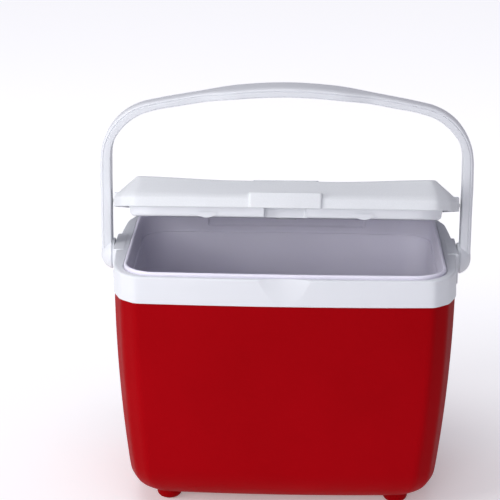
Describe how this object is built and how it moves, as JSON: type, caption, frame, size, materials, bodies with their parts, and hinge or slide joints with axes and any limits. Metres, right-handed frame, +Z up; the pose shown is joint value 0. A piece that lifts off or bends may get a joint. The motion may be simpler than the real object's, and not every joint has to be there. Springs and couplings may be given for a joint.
{
  "type": "hand-held insulated cooler",
  "caption": "Small insulated drinks cooler: foam-filled tub with white liner and collar, rear-hinged foam lid with a lift tab, and a swinging bail handle.",
  "frame": {"origin": "on the floor, under the middle of the whole object's box, four feet standing on Z = 0", "axes": "+Z up, +X to the cooler's right-hand side as seen from the front, -Y is the front with the lid's lift tab, the hinges are at +Y"},
  "size_m": [0.3537, 0.238, 0.3932],
  "materials": {
    "red_shell": "satin moulded polypropylene, deep red",
    "white_plastic": "satin moulded polypropylene, white",
    "white_grained": "fine grained moulded polypropylene, white",
    "white_liner": "smooth moulded polypropylene, white",
    "foam": "rigid closed-cell insulation foam",
    "stud_plastic": "moulded acetal, off white"
  },
  "bodies": {
    "tub": {"outer_shell": "red_shell", "foot_front_left": "red_shell", "foot_front_right": "red_shell", "foot_rear_left": "red_shell", "foot_rear_right": "red_shell", "foam_fill_plug": "red_shell", "inner_liner": "white_liner", "rim_collar": "white_plastic", "body_foam": "foam", "pivot_stud_left": "stud_plastic", "pivot_stud_right": "stud_plastic", "hinge_pin_left": "stud_plastic", "hinge_pin_right": "stud_plastic"},
    "lid": {"lid_shell": "white_grained", "lid_pan": "white_liner", "lid_fill_plug": "white_liner", "lid_foam": "foam"},
    "handle": {"bail_handle": "white_plastic"}
  },
  "joints": [
    {"name": "lid_hinge", "type": "hinge", "parent": "tub", "child": "lid", "pos_m": [0, 0.1148, 0.2386], "axis": [-1, 0, 0], "range_deg": [-16, 19.8]},
    {"name": "handle_pivot", "type": "hinge", "parent": "tub", "child": "handle", "pos_m": [0, -0.0036, 0.2272], "axis": [1, 0, 0], "range_deg": [-120, 120]}
  ]
}
